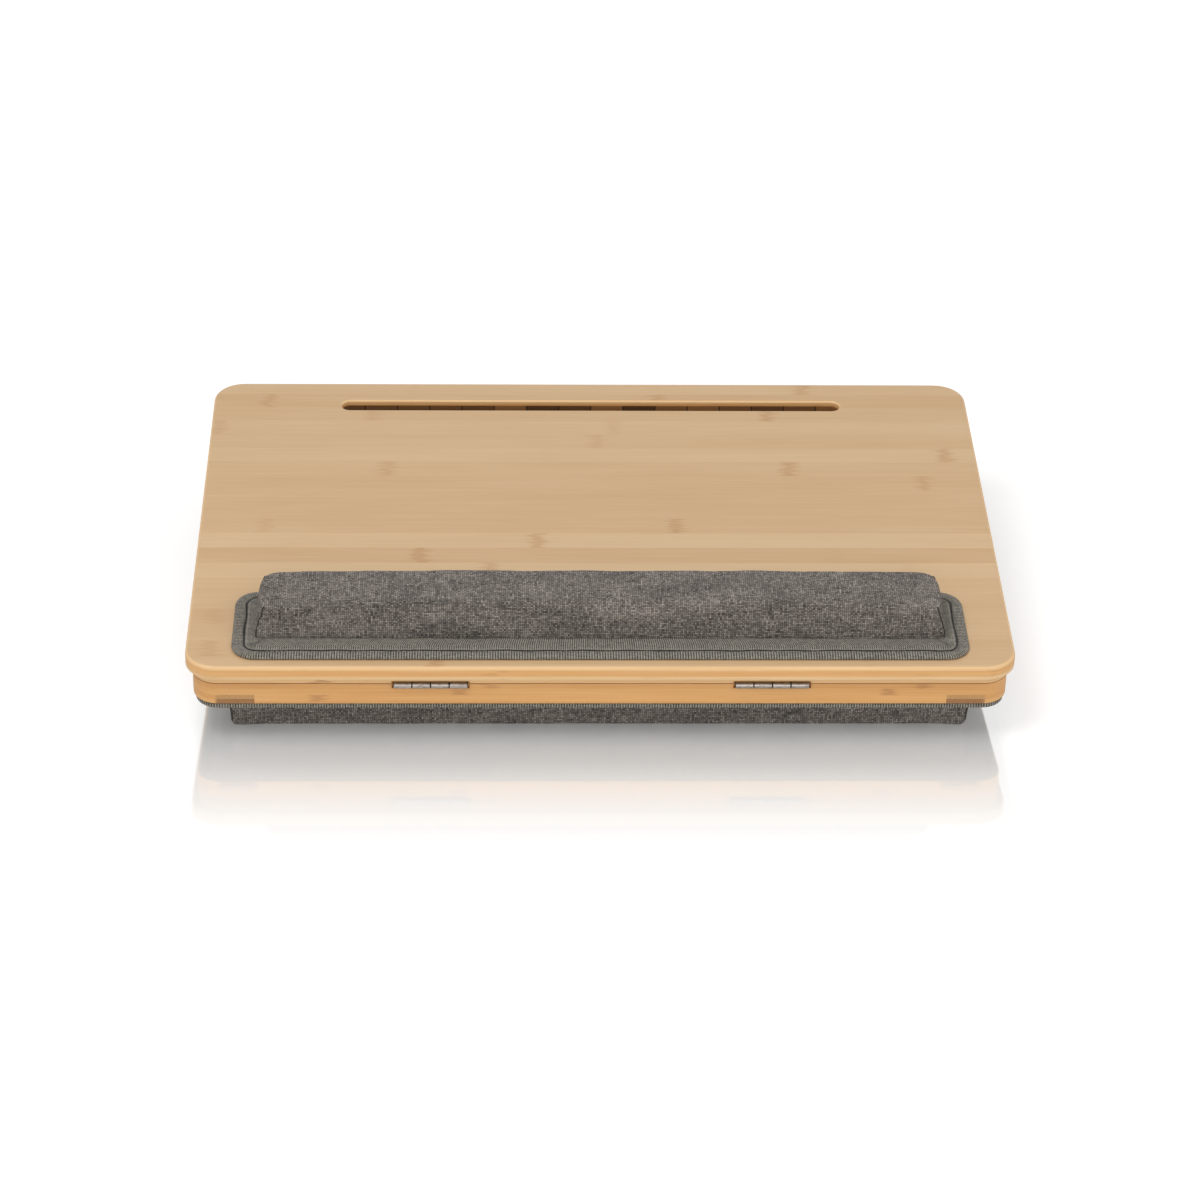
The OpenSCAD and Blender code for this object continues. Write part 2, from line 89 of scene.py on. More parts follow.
# Places that follow from them, in the desk's own frame:
# Y runs back from the lid's front edge, Z up from the base's underside
BASE_X = LID_W / 2 - OVERHANG
BASE_Y0 = OVERHANG
BASE_Y1 = LID_D - OVERHANG
BOARD_Z = BASE_H + LID_GAP + RIM_H
TOP_Z = BOARD_Z + BOARD_T
SLOT_Y = LID_D - SLOT_BACK
REST_Z = TOP_Z + 2 * TAPE_T
REST_PAD_Z = REST_Z + REST_FLANGE_T
PAD_X = REST_W / 2 - REST_LIP_SIDE
PAD_Y0 = REST_FRONT + REST_LIP
PAD_Y1 = REST_FRONT + REST_D - REST_LIP_BACK
Y_LOW = EDGE_R * math.cos(TILT) - (TOP_Z - EDGE_R) * math.sin(TILT) - EDGE_R
Y_HIGH = LID_D * math.cos(TILT) - BOARD_Z * math.sin(TILT)
Y_MIDDLE = (Y_LOW + Y_HIGH) / 2
DESK = Matrix.Translation((0, -Y_MIDDLE, FRONT_H)) @ Matrix.Rotation(TILT, 4, "X")


def table_z(y):
    """Height of the table under the tilted desk, in the desk's frame."""
    return -(FRONT_H + y * math.sin(TILT)) / math.cos(TILT)


# Camera, solved from the photograph's outline of the lid
CAMERA_PLACE = Vector((-75.7, -2368.4, 1325.0)) * MM
CAMERA_DOWN = math.radians(29.0)
CAMERA_YAW = math.radians(1.927)
CAMERA_ROLL = math.radians(0.975)
CAMERA_LENS = 113.05
SENSOR = 36.0
CAMERA_REACH = 50


def add_camera():
    data = bpy.data.cameras.new("camera")
    data.lens = CAMERA_LENS
    data.sensor_width = SENSOR
    data.sensor_fit = "HORIZONTAL"
    data.clip_end = CAMERA_REACH
    ahead = Vector((
        math.sin(CAMERA_YAW) * math.cos(CAMERA_DOWN),
        math.cos(CAMERA_YAW) * math.cos(CAMERA_DOWN),
        -math.sin(CAMERA_DOWN),
    ))
    level = Vector((math.cos(CAMERA_YAW), -math.sin(CAMERA_YAW), 0))
    above = level.cross(ahead)
    right = level * math.cos(CAMERA_ROLL) + above * math.sin(CAMERA_ROLL)
    up = above * math.cos(CAMERA_ROLL) - level * math.sin(CAMERA_ROLL)
    camera = bpy.data.objects.new("camera", data)
    camera.matrix_world = Matrix.Translation(CAMERA_PLACE) @ Matrix((right, up, -ahead)).transposed().to_4x4()
    bpy.context.collection.objects.link(camera)
    bpy.context.scene.camera = camera


# Shader graphs
# Places of the Mix node's sockets when it mixes colours
MIX_FACTOR = 0
MIX_FIRST = 6
MIX_SECOND = 7
MIX_RESULT = 2


def srgb(red, green, blue):
    """Linear colour of an 8-bit colour."""
    def linear(value):
        value /= 255
        return value / 12.92 if value <= 0.04045 else ((value + 0.055) / 1.055) ** 2.4
    return (linear(red), linear(green), linear(blue), 1)


class Value:
    """A number in a shader graph that can be added, multiplied and so on."""

    def __init__(self, graph, socket):
        self.graph = graph
        self.socket = socket

    def __add__(self, other):
        return self.graph.math("ADD", self, other)

    def __sub__(self, other):
        return self.graph.math("SUBTRACT", self, other)

    def __mul__(self, other):
        return self.graph.math("MULTIPLY", self, other)

    def __truediv__(self, other):
        return self.graph.math("DIVIDE", self, other)

    def __gt__(self, other):
        return self.graph.math("GREATER_THAN", self, other)

    def __lt__(self, other):
        return self.graph.math("LESS_THAN", self, other)

    def floor(self):
        return self.graph.math("FLOOR", self)

    def fraction(self):
        return self.graph.math("FRACT", self)

    def size(self):
        return self.graph.math("ABSOLUTE", self)

    def sine(self):
        return self.graph.math("SINE", self)

    def step(self, low, high):
        """0 below low, 1 above high and smooth between."""
        node = self.graph.node("ShaderNodeMapRange", {"Value": self, "From Min": low, "From Max": high})
        node.interpolation_type = "SMOOTHSTEP"
        return Value(self.graph, node.outputs["Result"])


class Graph:
    """One material's node tree, with short names for the nodes it uses."""

    def __init__(self, name, roughness=0.5, metallic=0.0):
        self.material = bpy.data.materials.new(name)
        self.material.use_nodes = True
        self.tree = self.material.node_tree
        self.shader = self.tree.nodes["Principled BSDF"]
        self.shader.inputs["Roughness"].default_value = roughness
        self.shader.inputs["Metallic"].default_value = metallic

    def node(self, kind, inputs=()):
        node = self.tree.nodes.new(kind)
        for key, value in dict(inputs).items():
            self.set(node.inputs[key], value)
        return node

    def set(self, socket, value):
        if isinstance(value, Value):
            self.tree.links.new(value.socket, socket)
        else:
            socket.default_value = value

    def math(self, operation, first, second=0.0):
        node = self.node("ShaderNodeMath", {0: first, 1: second})
        node.operation = operation
        return Value(self, node.outputs[0])

    def desk_point(self):
        """Position in the desk's frame, in millimetres."""
        place = self.node("ShaderNodeTexCoord").outputs["Object"]
        back = DESK.inverted()
        node = self.node("ShaderNodeMapping", {
            "Location": back.translation / MM,
            "Rotation": (-TILT, 0, 0),
            "Scale": (1 / MM, 1 / MM, 1 / MM),
        })
        self.tree.links.new(place, node.inputs["Vector"])
        return self.split(node.outputs["Vector"])

    def desk_normal(self):
        """Direction that the surface faces, in the desk's frame."""
        facing = self.node("ShaderNodeTexCoord").outputs["Normal"]
        node = self.node("ShaderNodeMapping", {"Rotation": (-TILT, 0, 0)})
        self.tree.links.new(facing, node.inputs["Vector"])
        return self.split(node.outputs["Vector"])

    def cloth_point(self):
        """Place on the cloth, along and across, in millimetres, from the piece's own unfolding."""
        node = self.node("ShaderNodeUVMap")
        node.uv_map = "cloth"
        along, across, _ = self.split(node.outputs["UV"])
        return along / MM, across / MM

    def split(self, socket):
        node = self.node("ShaderNodeSeparateXYZ")
        self.tree.links.new(socket, node.inputs[0])
        return [Value(self, output) for output in node.outputs]

    def join(self, x, y, z=0.0):
        return Value(self, self.node("ShaderNodeCombineXYZ", {0: x, 1: y, 2: z}).outputs[0])

    def noise(self, point, detail=3.0, roughness=0.5):
        node = self.node("ShaderNodeTexNoise", {
            "Vector": point, "Scale": 1.0, "Detail": detail, "Roughness": roughness,
        })
        return Value(self, node.outputs["Fac"])

    def random(self, x, y, z=0.0):
        node = self.node("ShaderNodeTexWhiteNoise", {"Vector": self.join(x, y, z)})
        return Value(self, node.outputs["Value"])

    def mix(self, factor, first, second, blend="MIX"):
        """Colour between first and second."""
        node = self.tree.nodes.new("ShaderNodeMix")
        node.data_type = "RGBA"
        node.blend_type = blend
        self.set(node.inputs[MIX_FACTOR], factor)
        self.set(node.inputs[MIX_FIRST], first)
        self.set(node.inputs[MIX_SECOND], second)
        return Value(self, node.outputs[MIX_RESULT])

    def choose(self, factor, first, second):
        """Number between first and second."""
        return first + (second - first) * factor

    def ramp(self, factor, *stops):
        """Colour that runs through the stops, each a place from 0 to 1 and a colour."""
        node = self.node("ShaderNodeValToRGB", {"Fac": factor})
        elements = node.color_ramp.elements
        while len(elements) < len(stops):
            elements.new(0.5)
        for element, (place, colour) in zip(elements, stops):
            element.position = place
            element.color = colour
        return Value(self, node.outputs["Color"])

    def colour(self, value):
        self.set(self.shader.inputs["Base Color"], value)

    def bump(self, height, distance):
        """Height from 0 to 1 stands for distance, in metres."""
        node = self.node("ShaderNodeBump", {"Height": height, "Distance": distance})
        self.tree.links.new(node.outputs["Normal"], self.shader.inputs["Normal"])


# Wood
TOP_TONES = (srgb(196, 157, 110), srgb(208, 174, 132), srgb(219, 188, 148))
EDGE_TONES = (srgb(206, 142, 76), srgb(226, 170, 104), srgb(238, 194, 134))
PLY_TONES = (srgb(214, 164, 106), srgb(232, 190, 136), srgb(242, 208, 162))
RIM_TONES = (srgb(214, 164, 104), srgb(236, 194, 138), srgb(242, 208, 160))
NODE_TONE = srgb(176, 122, 72)
END_TONES = (srgb(140, 94, 50), srgb(174, 124, 72), srgb(206, 160, 102))
# End grain of the slot's core, both tones darkened by painted shade deep in the slot
SHADED_SLOT_TONES = (srgb(84, 56, 32), srgb(150, 108, 66))
SLOT_JOINT = srgb(24, 15, 9)
# Widths of the strips, in millimetres
FACE_STRIP = 19.0
CORE_STRIP = 2.6
RAIL_STRIP = 5.3
RAIL_FACE_STRIP = 17.0
SLOT_STRIP = 24.0
# The cane's nodes, in millimetres: how far apart they are, how far they reach and how ragged they are,
# and how dark they are, from 0 to 1
NODE_PITCH = 290.0
NODE_REACH = 8.0
NODE_RAGGED = 36.0
NODE_DARKNESS = 0.6
# Half the thickness of the board's core, and the fade to the plies beside it, in millimetres
CORE_HALF = 2.3
CORE_FADE = (2.0, 2.7)
# Down from the board's top to the slot's walls and to the core in them, and how far past the slot's sides
# they may lie, in millimetres
SLOT_WALL_DOWN = 0.9
SLOT_CORE_DOWN = 4.2
SLOT_MARGIN = 0.2
# Where the side rails' cut ends begin, inward from the base's sides, and the height where their darker
# lower strip ends, in millimetres
CUT_END = (14.5, 17.5)
DARK_STRIP = (3.2, 4.0)
# Height of the relief in metres, and the varnish
WOOD_RELIEF = 0.00012
WOOD_COAT = 0.12
WOOD_COAT_ROUGHNESS = 0.35


def strip_wood(g, along, across, depth, strip, tones, seed, marks=1.0):
    """Colour and fine height of bamboo in strips of the given width. Marks says how strong its nodes are."""
    row = (across / strip + seed).floor()
    tone = g.random(row, seed)
    fibre = g.noise(g.join(along * 0.012, across * 1.1, depth * 1.1 + tone * 40.0), detail=5.0, roughness=0.6)
    fine = g.noise(g.join(along * 0.035, across * 5.0, depth * 5.0), detail=2.0)
    cloud = g.noise(g.join(along * 0.006, across * 0.05, tone * 9.0), detail=2.0)
    level = tone * 0.26 + fibre * 0.56 + fine * 0.22 + cloud * 0.38 - 0.2
    colour = g.ramp(level, (0.15, tones[0]), (0.5, tones[1]), (0.85, tones[2]))
    # Long darker lines
    line = g.noise(g.join(along * 0.004, across * 2.4, tone * 17.0), detail=2.0)
    colour = g.mix(line.step(0.58, 0.74) * 0.3, colour, tones[0])
    # The nodes of the cane cross each strip as short, feathered, darker patches
    joint = along / NODE_PITCH + g.random(row, seed + 3.7) * 9.0
    feather = g.noise(g.join(along * 0.04, across * 0.5, tone * 30.0), detail=4.0, roughness=0.7) - 0.5
    distance = ((joint.fraction() - 0.5) * NODE_PITCH + feather * NODE_RAGGED).size()
    patch = distance.step(NODE_REACH, 0.5) * g.random(row, joint.floor(), seed + 8.1).step(0.05, 0.8)
    colour = g.mix(patch * (NODE_DARKNESS * marks), colour, NODE_TONE)
    # Glue lines between strips
    edge = ((across / strip + seed).fraction() - 0.5).size().step(0.485, 0.5)
    colour = g.mix(edge * 0.12, colour, tones[0])
    return colour, fibre * 0.6 + fine * 0.4 - edge * 0.5


def end_wood(g, first, second, seed):
    """Colour of cut bamboo ends: dark fibre bundles in warmer ground, darker in the lower strip."""
    dots = g.noise(g.join(first * 1.3, second * 2.6, seed), detail=3.0)
    strip = second.step(*DARK_STRIP)
    level = dots * 0.5 + strip * 0.3 + 0.12
    return g.ramp(level, (0.25, END_TONES[0]), (0.5, END_TONES[1]), (0.8, END_TONES[2]))


def finish_wood(g, colour, height):
    g.colour(colour)
    g.bump(height, WOOD_RELIEF)
    g.shader.inputs["Coat Weight"].default_value = WOOD_COAT
    g.shader.inputs["Coat Roughness"].default_value = WOOD_COAT_ROUGHNESS
    return g.material


def lid_wood():
    """Flat bamboo on both faces, warmer edging round the rim, and the cross-laid core inside the slot."""
    g = Graph("lid_bamboo", roughness=0.5)
    x, y, z = g.desk_point()
    _, _, up = g.desk_normal()
    top, top_height = strip_wood(g, x, y, z, FACE_STRIP, TOP_TONES, seed=2.3, marks=0.75)
    side, side_height = strip_wood(g, x + y, z, y, CORE_STRIP, EDGE_TONES, seed=5.1, marks=0.4)
    ply, _ = strip_wood(g, x + y, z * 1.3, y, CORE_STRIP, PLY_TONES, seed=6.4, marks=0.2)
    # The board's edge shows a lighter face ply above and below the core, with a glue line between them
    middle = (z - (BOARD_Z + BOARD_T / 2) / MM).size()
    side = g.mix(middle.step(*CORE_FADE), side, ply)
    glue = (middle - CORE_HALF).size().step(0.25, 0.05)
    side = g.mix(glue * 0.3, side, EDGE_TONES[0])
    flat = up.size().step(0.75, 0.97)
    colour = g.mix(flat, side, top)
    height = g.choose(flat, side_height, top_height)
    # Walls of the slot: the face ply, then strips of the core with dark joints between them. The core's colours
    # are its end grain darkened by painted shade deep in the slot
    near_y = (y - SLOT_Y / MM).size() < SLOT_W / MM / 2 + SLOT_MARGIN
    near_x = x.size() < SLOT_L / MM / 2 + SLOT_MARGIN
    wall = near_y * near_x * (z < TOP_Z / MM - SLOT_WALL_DOWN)
    core = z < TOP_Z / MM - SLOT_CORE_DOWN
    segment = (x / SLOT_STRIP).floor()
    joint = ((x / SLOT_STRIP).fraction() - 0.5).size().step(0.47, 0.5)
    shaded_core_colour = g.ramp(g.random(segment, 4.0), (0.0, SHADED_SLOT_TONES[0]), (1.0, SHADED_SLOT_TONES[1]))
    shaded_core_colour = g.mix(joint, shaded_core_colour, SLOT_JOINT)
    colour = g.mix(wall * core, colour, shaded_core_colour)
    return finish_wood(g, colour, height)


def rail_wood(name, tones, along_x, seed, ends=False):
    """Strips stacked in height on the walls, and cut ends where a side rail comes through to the front."""
    g = Graph(name, roughness=0.48)
    x, y, z = g.desk_point()
    _, front, up = g.desk_normal()
    along, across = (x, y) if along_x else (y, x)
    wall, wall_height = strip_wood(g, along, z, across, RAIL_STRIP, tones, seed)
    flat, flat_height = strip_wood(g, along, across, z, RAIL_FACE_STRIP, tones, seed + 2.0)
    level = up.size().step(0.6, 0.8)
    colour = g.mix(level, wall, flat)
    height = g.choose(level, wall_height, flat_height)
    if ends:
        inward = x.size() * -1.0 + BASE_X / MM
        cut = front.size().step(0.9, 0.95) * inward.step(*CUT_END) * (z < FOOT_H / MM)
        colour = g.mix(cut, colour, end_wood(g, x, z, seed))
    return finish_wood(g, colour, height)


# Cloth, foam and metal
# Width of a yarn, in millimetres
YARN = 1.4
# Dark, middle and light tone, each with its place from 0 to 1
TWEED = ((0.2, srgb(70, 65, 61)), (0.5, srgb(131, 123, 116)), (0.85, srgb(194, 184, 173)))
WEBBING = ((0.15, srgb(58, 55, 50)), (0.5, srgb(116, 111, 102)), (0.85, srgb(166, 160, 147)))
# Painted shade in the crease where the border goes under its binding
FOLD_SHADE = srgb(34, 32, 29)
CUT_FOAM = (srgb(206, 192, 150), srgb(240, 230, 196))
NICKEL = srgb(178, 171, 165)
TARNISH = srgb(134, 120, 106)
# Painted shade for the gaps between the hinges' knuckles
TURNED = srgb(88, 82, 76)
GAP_SHADE = srgb(26, 22, 20)
# Heights of the relief, in metres
TWEED_RELIEF = 0.0006
TAPE_RELIEF = 0.0004
THREAD_RELIEF = 0.0001
NAP_RELIEF = 0.0003
FOAM_RELIEF = 0.0006
METAL_RELIEF = 0.00005
SHEEN_ROUGHNESS = 0.5
CLOTH_SPECULAR = 0.2


def finish_cloth(g, sheen):
    g.shader.inputs["Sheen Weight"].default_value = sheen
    g.shader.inputs["Sheen Roughness"].default_value = SHEEN_ROUGHNESS
    g.shader.inputs["Specular IOR Level"].default_value = CLOTH_SPECULAR
    return g.material


def tweed():
    """Plain weave of thick, slubby yarns in mixed greys."""
    g = Graph("grey_tweed", roughness=0.95)
    along, across = g.cloth_point()
    wander = g.noise(g.join(along * 0.05, across * 0.05), detail=1.0) - 0.5
    a = along / YARN + wander * 1.6
    b = across / YARN + wander * 1.2
    column = a.floor()
    row = b.floor()
    over = ((column + row) * 0.5).fraction() > 0.25
    arch_a = (a.fraction() * math.pi).sine()
    arch_b = (b.fraction() * math.pi).sine()
    warp_height = arch_a * (arch_b * 0.65 + 0.35)
    weft_height = arch_b * (arch_a * 0.65 + 0.35)
    height = g.choose(over, warp_height, weft_height)
    weft_tone = g.noise(g.join(along * 0.12, row * 2.7), detail=3.0)
    warp_tone = g.noise(g.join(column * 2.7, across * 0.12, 5.0), detail=3.0)
    fleck = g.random(column, row)
    tone = g.choose(over, warp_tone, weft_tone) * 1.05 + fleck * 0.26 - 0.15
    patchy = g.noise(g.join(along * 0.02, across * 0.05, 2.0), detail=2.0)
    colour = g.ramp(tone + patchy * 0.36 - 0.18, *TWEED)
    # Painted shade in the hollows between the yarns: the colour is darker where the weave is lower
    shade = height * 0.8 + 0.42
    g.colour(g.mix(1.0, colour, g.join(shade, shade, shade), blend="MULTIPLY"))
    g.bump(height, TWEED_RELIEF)
    return finish_cloth(g, 0.1)


def webbing(name, rib, groove=0.0):
    """Tape with ribs across its length, darkened with painted shade from its outer edge to the groove, and pale
    just past it.
    """
    g = Graph(name, roughness=0.85)
    along, across = g.cloth_point()
    pick = rib * 0.6
    ribs = (along / rib * 2 * math.pi).sine() * 0.5 + 0.5
    threads = (across / pick * 2 * math.pi).sine() * 0.5 + 0.5
    fleck = g.random((along / rib).floor(), (across / pick).floor())
    colour = g.ramp(ribs * 0.62 + fleck * 0.26 + threads * 0.12, *WEBBING)
    if groove:
        # A paler band just past the groove, then painted shade from the groove out to the edge under the
        # binding
        pale_band = (across - (groove + 1.3)).size().step(0.6, 0.3)
        colour = g.mix(pale_band * 0.4, colour, WEBBING[2][1])
        colour = g.mix(across.step(groove + 0.8, groove), colour, FOLD_SHADE)
    g.colour(colour)
    g.bump(ribs * 0.7 + threads * 0.3, TAPE_RELIEF)
    return finish_cloth(g, 0.15)


def thread(name, dark, light):
    """Twisted thread or cord."""
    g = Graph(name, roughness=0.7)
    x, y, z = g.desk_point()
    twist = ((x + y + z) * 5.0).sine() * 0.5 + 0.5
    g.colour(g.mix(twist, dark, light))
    g.bump(twist, THREAD_RELIEF)
    return finish_cloth(g, 0.1)


def plain_cloth(name, dark, light):
    """Close cloth with a fine nap."""
    g = Graph(name, roughness=0.95)
    x, y, z = g.desk_point()
    nap = g.noise(g.join(x * 1.4, y * 1.4, z * 1.4), detail=4.0)
    g.colour(g.mix(nap, dark, light))
    g.bump(nap, NAP_RELIEF)
    return finish_cloth(g, 0.3)


def foam():
    """Cut foam with open cells."""
    g = Graph("cut_foam", roughness=0.9)
    x, y, z = g.desk_point()
    cells = g.noise(g.join(x * 0.9, y * 0.9, z * 0.9), detail=4.0, roughness=0.7)
    g.colour(g.mix(cells, *CUT_FOAM))
    g.bump(cells, FOAM_RELIEF)
    return g.material


def hinge_metal():
    """Nickel plate with fine turning marks, a little warm tarnish and painted shade in the gaps between its
    knuckles.
    """
    g = Graph("satin_nickel", metallic=1.0)
    x, y, z = g.desk_point()
    turned = g.noise(g.join(x * 9.0, y * 0.6, z * 0.6), detail=2.0)
    tarnish = g.noise(g.join(x * 0.35, y * 0.8, z * 0.8), detail=3.0)
    colour = g.mix(tarnish.step(0.45, 0.75), NICKEL, TARNISH)
    colour = g.mix(turned * 0.4, colour, TURNED)
    start = (HINGE_X - HINGE_L / 2) / MM
    pitch = HINGE_L / KNUCKLE_N / MM
    knuckle = ((x.size() - start) / pitch).fraction()
    # Painted shade in the gaps between the knuckles, on the round part only
    gap_shade = (knuckle - 0.5).size().step(0.465, 0.49) * (y < BARREL_BACK / MM)
    g.colour(g.mix(gap_shade, colour, GAP_SHADE))
    g.set(g.shader.inputs["Roughness"], turned * 0.2 + 0.22)
    g.bump(turned, METAL_RELIEF)
    return g.material


# Meshes
# Rings: steps to a corner, length of a step along a side, and the smallest corner radius
ARC_STEPS = 8
SIDE_STEP = 6 * MM
SMALL_CORNER = 1 * MM
# The sewn line of the borders wanders by this much, in two waves with these runs to a radian,
# and only between two insets
SWAY = 0.45 * MM
SWAY_SHORT = 5.5 * MM
SWAY_LONG = 23 * MM
SEAM_LOW = 6.5 * MM
SEAM_HIGH = 10 * MM
# Runs to a radian in the two waves of a border's ripple
RIPPLE_LONG = 17 * MM
RIPPLE_SHORT = 6.1 * MM
# How squarely a face looks sideways or back for its cloth to be laid out that way
SIDE_FACING = 0.8
BACK_FACING = 0.7
# A stitch's arch: share of its length, and height as a share of its lift
STITCH = ((0.0, -0.4), (0.3, 0.8), (0.7, 0.8), (1.0, -0.4))
STITCH_PITCH = 3.4 * MM
STITCH_R = 0.28 * MM
STITCH_SIDES = 5
STITCH_LIFT = 0.25 * MM
# How far seam cords lie over the cloth
CORD_LIFT = 0.2 * MM
CLOTH_FRAMES = 20
# The uneven hollows of both pads: their size, then how finer ones fade and shrink, and how many sizes there are
HOLLOW_GRAIN = 30 * MM
HOLLOW_OCTAVES = (1.0, 2.0, 3)


def give_material(mesh, material):
    mesh.materials.clear()
    mesh.materials.append(material)


def smooth_faces(mesh):
    for face in mesh.polygons:
        face.use_smooth = True


def add_piece(name, mesh, material, body):
    piece = bpy.data.objects.new(name, mesh)
    bpy.context.collection.objects.link(piece)
    give_material(mesh, material)
    smooth_faces(mesh)
    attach(piece, body)
    return piece


def arc_point(cx, cy, radius, degrees):
    angle = math.radians(degrees)
    return Vector((cx + radius * math.cos(angle), cy + radius * math.sin(angle), 0))


def ring_points(x0, y0, x1, y1, radius, long_step=SIDE_STEP):
    """Points round a rectangle with round corners, counted from its front right corner."""
    points = []
    corners = (
        (x1 - radius, y0 + radius, 270),
        (x1 - radius, y1 - radius, 0),
        (x0 + radius, y1 - radius, 90),
        (x0 + radius, y0 + radius, 180),
    )
    for k, (cx, cy, start) in enumerate(corners):
        points += [arc_point(cx, cy, radius, start + 90 * i / ARC_STEPS) for i in range(ARC_STEPS + 1)]
        next_x, next_y, turn = corners[(k + 1) % 4]
        first = points[-1]
        last = arc_point(next_x, next_y, radius, turn)
        side = x1 - x0 if k % 2 else y1 - y0
        steps = max(2, round(side / long_step))
        points += [first.lerp(last, i / steps) for i in range(1, steps)]
    return points


def run_round(ring):
    """Distance along a closed ring at each of its points, and at the first one again."""
    run = [0.0]
    for i, point in enumerate(ring):
        run.append(run[-1] + (ring[(i + 1) % len(ring)] - point).length)
    return run


def seam_sway(run):
    """Sideways wander of the sewn line between binding and border, at a run along the edge."""
    return SWAY * math.sin(run / SWAY_SHORT + 2 * math.sin(run / SWAY_LONG))


def sweep_round(name, rect, radius, profile, ripple):
    """Mesh of a profile swept round a rectangle. The profile is a list of (inset, height)."""
    x0, y0, x1, y1 = rect
    bm = bmesh.new()
    layer = bm.loops.layers.uv.new("cloth")
    outer = ring_points(x0, y0, x1, y1, radius)
    count = len(outer)
    run = run_round(outer)
    across = [0.0]
    for before, after in zip(profile, profile[1:]):
        across.append(across[-1] + math.hypot(after[0] - before[0], after[1] - before[1]))
    rows = []
    for inset, height in profile:
        # Every row has the outer ring's number of points, so that rows join one to one
        row = []
        ring = ring_points_like(outer, rect, radius, inset)
        for i, point in enumerate(ring):
            wave = ripple * math.sin(run[i] / RIPPLE_LONG) * math.sin(run[i] / RIPPLE_SHORT + 1)
            if SEAM_LOW < inset < SEAM_HIGH:
                point += (outer[i] - point).normalized() * seam_sway(run[i])
            row.append(bm.verts.new((point.x, point.y, height + wave)))
        rows.append(row)
    for j in range(len(rows) - 1):
        for i in range(count):
            k = (i + 1) % count
            face = bm.faces.new((rows[j][i], rows[j + 1][i], rows[j + 1][k], rows[j][k]))
            here = ((run[i], across[j]), (run[i], across[j + 1]))
            ahead = ((run[i + 1], across[j + 1]), (run[i + 1], across[j]))
            for loop, uv in zip(face.loops, here + ahead):
                loop[layer].uv = uv
    bmesh.ops.recalc_face_normals(bm, faces=bm.faces)
    mesh = bpy.data.meshes.new(name)
    bm.to_mesh(mesh)
    bm.free()
    mesh.transform(DESK)
    return mesh


def move_in(value, low, high, radius, inset, small):
    """A corner's middle on one axis, once the ring is moved in by inset and its corners' radius is small."""
    share = (value - low - radius) / (high - low - 2 * radius)
    return (low + inset + small) + share * (high - low - 2 * inset - 2 * small)


def ring_points_like(outer, rect, radius, inset):
    """The outer ring moved in by inset. Its corners keep their turn, and no radius gets too small."""
    x0, y0, x1, y1 = rect
    small = max(radius - inset, SMALL_CORNER)
    points = []
    for point in outer:
        cx = min(max(point.x, x0 + radius), x1 - radius)
        cy = min(max(point.y, y0 + radius), y1 - radius)
        share = Vector((point.x - cx, point.y - cy, 0)) / radius
        new_x = move_in(cx, x0, x1, radius, inset, small)
        new_y = move_in(cy, y0, y1, radius, inset, small)
        points.append(Vector((new_x + share.x * small, new_y + share.y * small, 0)))
    return points


def unfold(mesh):
    """Cloth coordinates by the way that each face looks, in the desk's frame, in metres."""
    layer = mesh.uv_layers.new(name="cloth")
    back = DESK.inverted()
    turn = back.to_3x3()
    for face in mesh.polygons:
        normal = turn @ face.normal
        for index in face.loop_indices:
            point = back @ mesh.vertices[mesh.loops[index].vertex_index].co
            if abs(normal.x) > SIDE_FACING:
                layer.data[index].uv = (point.y, point.z)
            elif normal.y > BACK_FACING:
                layer.data[index].uv = (point.x, point.z)
            else:
                # Front and top run on into each other without a break
                layer.data[index].uv = (point.x, point.y + point.z)


def four_corners(x, front, back):
    """Corners of a rectangle from -x to x, where front and back are each (y, z)."""
    return [(-x, *front), (x, *front), (x, *back), (-x, *back)]


def block_mesh(name, low, high):
    """Closed block between two rings of four corners each."""
    mesh = bpy.data.meshes.new(name)
    walls = [(i, (i + 1) % 4, 4 + (i + 1) % 4, 4 + i) for i in range(4)]
    mesh.from_pydata([*low, *high], [], [(3, 2, 1, 0), (4, 5, 6, 7), *walls])
    mesh.transform(DESK)
    return mesh


def evaluated(piece):
    """The piece's mesh with its modifiers applied."""
    graph = bpy.context.evaluated_depsgraph_get()
    mesh = bpy.data.meshes.new_from_object(piece.evaluated_get(graph))
    piece.modifiers.clear()
    piece.data = mesh
    return mesh


def inflate(piece, voxel, rounds, pressure, cap, held):
    """Remeshes a block, rounds its edges and lets cloth swell it.

    Points for which held is true stay, and none moves further than cap.
    """
    remesh = piece.modifiers.new("remesh", "REMESH")
    remesh.mode = "VOXEL"
    remesh.voxel_size = voxel
    evaluated(piece)
    smooth = piece.modifiers.new("smooth", "SMOOTH")
    smooth.iterations = rounds
    mesh = evaluated(piece)
    start = [vertex.co.copy() for vertex in mesh.vertices]
    group = piece.vertex_groups.new(name="held")
    group.add([i for i, co in enumerate(start) if held(co)], 1.0, "REPLACE")
    cloth = piece.modifiers.new("cloth", "CLOTH")
    cloth.settings.quality = 5
    cloth.settings.mass = 0.3
    cloth.settings.use_pressure = True
    cloth.settings.uniform_pressure_force = pressure
    cloth.settings.effector_weights.gravity = 0
    cloth.settings.vertex_group_mass = "held"
    cloth.settings.tension_stiffness = 20
    cloth.settings.compression_stiffness = 20
    cloth.settings.bending_stiffness = 1.5
    cloth.collision_settings.use_collision = False
    scene = bpy.context.scene
    for number in range(1, CLOTH_FRAMES + 1):
        scene.frame_set(number)
    mesh = evaluated(piece)
    piece.vertex_groups.clear()
    scene.frame_set(1)
    for vertex, before in zip(mesh.vertices, start):
        move = vertex.co - before
        if move.length > cap:
            vertex.co = before + move * (cap / move.length)
    return mesh


def box_of(points):
    """Lowest and highest value of the points along each axis."""
    return [(min(point[k] for point in points), max(point[k] for point in points)) for k in range(3)]


